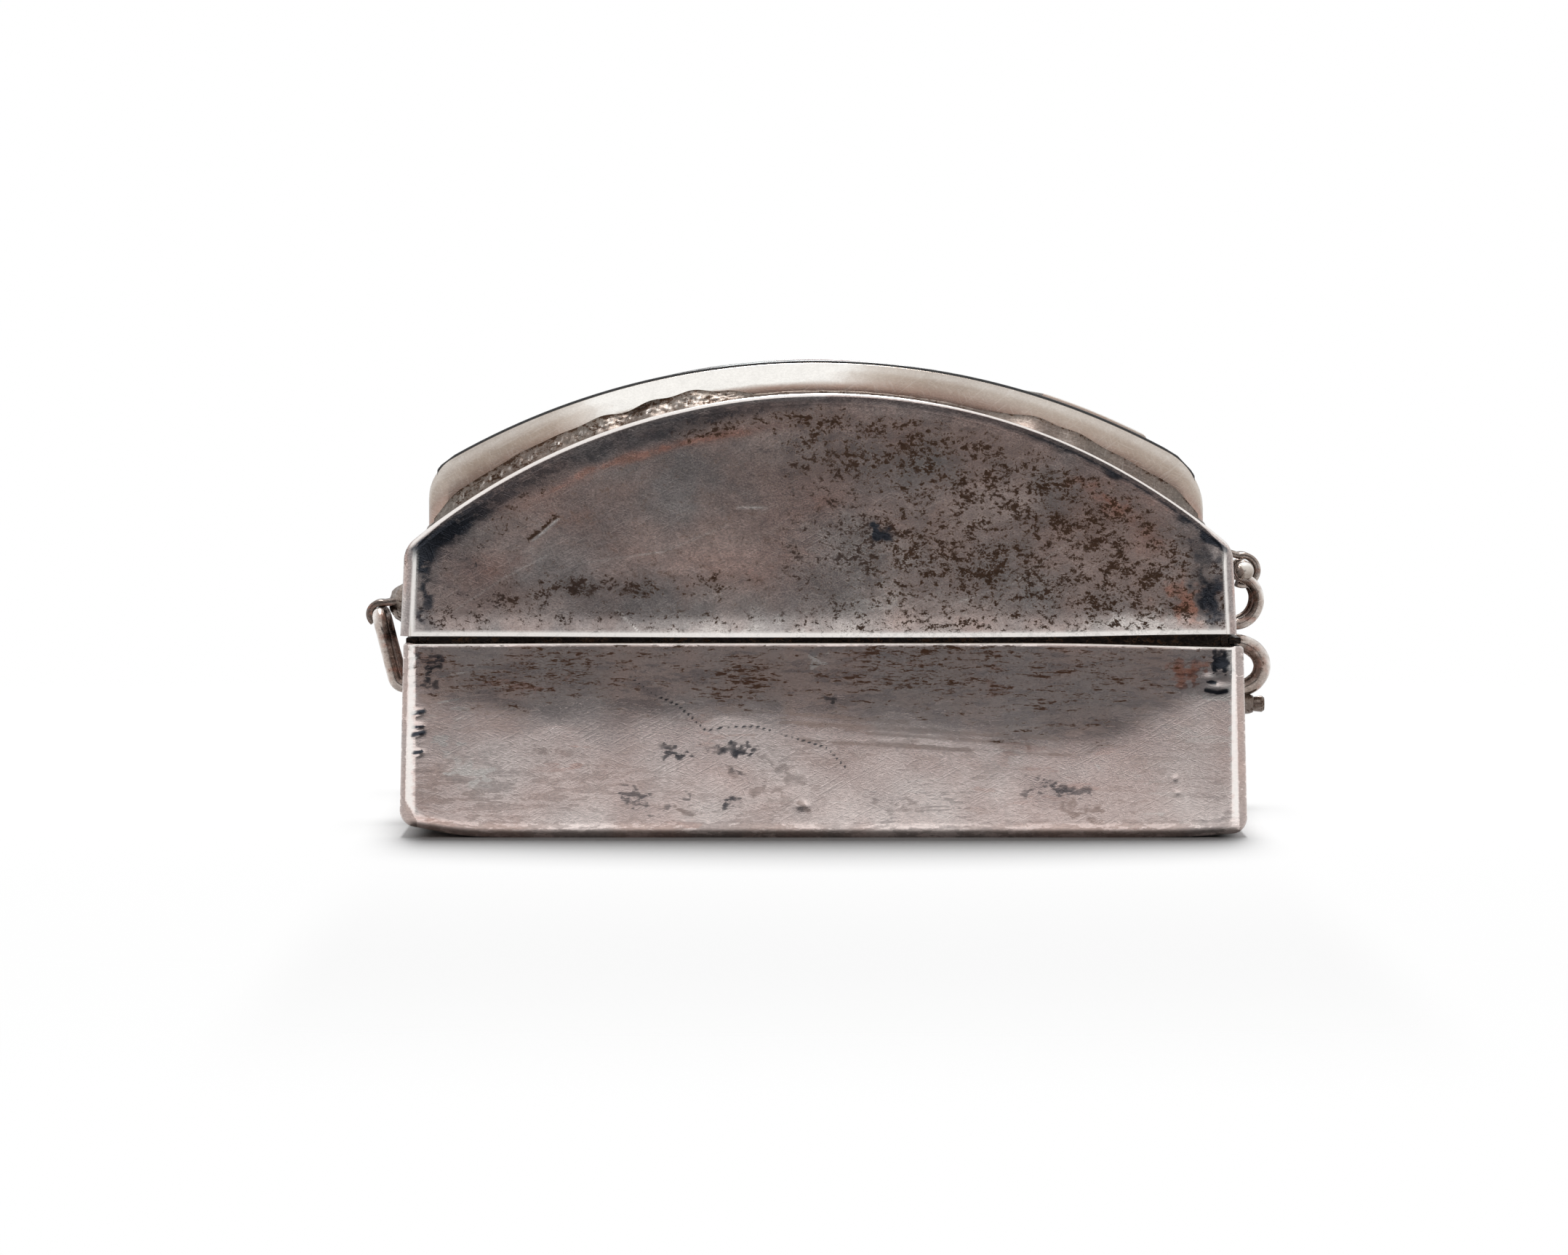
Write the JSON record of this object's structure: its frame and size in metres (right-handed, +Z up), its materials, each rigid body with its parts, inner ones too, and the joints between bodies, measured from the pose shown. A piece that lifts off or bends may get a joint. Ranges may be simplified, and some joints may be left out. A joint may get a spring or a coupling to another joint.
{
  "type": "inlaid silver keepsake box",
  "caption": "Rectangular silver keepsake box with an arched, wire-hinged lid, a stone-inlaid raised top panel, and a drop pull above a wire keeper loop.",
  "frame": {"origin": "middle of the tray's underside, on the surface that the box stands on", "axes": "+Z up, +Y along the box from the end in the picture to the far end, +X towards the pull side"},
  "size_m": [0.0904, 0.102, 0.045],
  "materials": {
    "silver_sheet": "hand-worked silver sheet, polished then tarnished, with brown sulphide speckles",
    "bright_silver": "rubbed silver, brighter where handled",
    "dark_silver": "silver wire and strap, heavily tarnished",
    "jet": "polished black jet",
    "turquoise": "polished turquoise with a fine dark matrix",
    "coral": "polished red coral",
    "shell": "polished mother of pearl"
  },
  "bodies": {
    "tray": {"tray_floor": "silver_sheet", "tray_front_end": "silver_sheet", "tray_back_end": "silver_sheet", "tray_hinge_side": "silver_sheet", "tray_pull_side": "silver_sheet", "collar_front": "dark_silver", "collar_back": "dark_silver", "collar_hinge_side": "dark_silver", "collar_pull_side": "dark_silver", "hinge_loop_front": "dark_silver", "hinge_loop_back": "dark_silver", "keeper_loop": "dark_silver", "keeper_stud": "dark_silver"},
    "lid": {"lid_roof": "silver_sheet", "lid_front_end": "silver_sheet", "lid_back_end": "silver_sheet", "bezel": "bright_silver", "inlay_bed": "dark_silver", "field_front": "jet", "field_back": "jet", "field_hinge_side": "jet", "field_middle": "jet", "field_pull_side": "jet", "main_rim": "bright_silver", "outer_channel": "bright_silver", "lozenge_band": "shell", "inner_channel": "bright_silver", "lozenge_heart": "turquoise", "corner_front_left": "coral", "corner_front_right": "coral", "corner_back_right": "coral", "corner_back_left": "coral", "bar_rim": "bright_silver", "bar_1": "turquoise", "bar_channel_1": "bright_silver", "bar_2": "jet", "bar_channel_2": "bright_silver", "bar_3": "turquoise", "bar_channel_3": "bright_silver", "bar_4": "jet", "bar_channel_4": "bright_silver", "bar_5": "turquoise", "hinge_strap_front": "dark_silver", "hinge_strap_back": "dark_silver", "pull_strap": "dark_silver", "pull_pin": "bright_silver"},
    "bail": {"pull_bail": "dark_silver"}
  },
  "joints": [
    {"name": "lid_hinge", "type": "hinge", "parent": "tray", "child": "lid", "pos_m": [-0.0432, 0, 0.0202], "axis": [0, -1, 0], "range_deg": [0, 105]},
    {"name": "bail_swing", "type": "hinge", "parent": "lid", "child": "bail", "pos_m": [0.0426, 0, 0.02375], "axis": [0, -1, 0], "range_deg": [0, 110]}
  ]
}
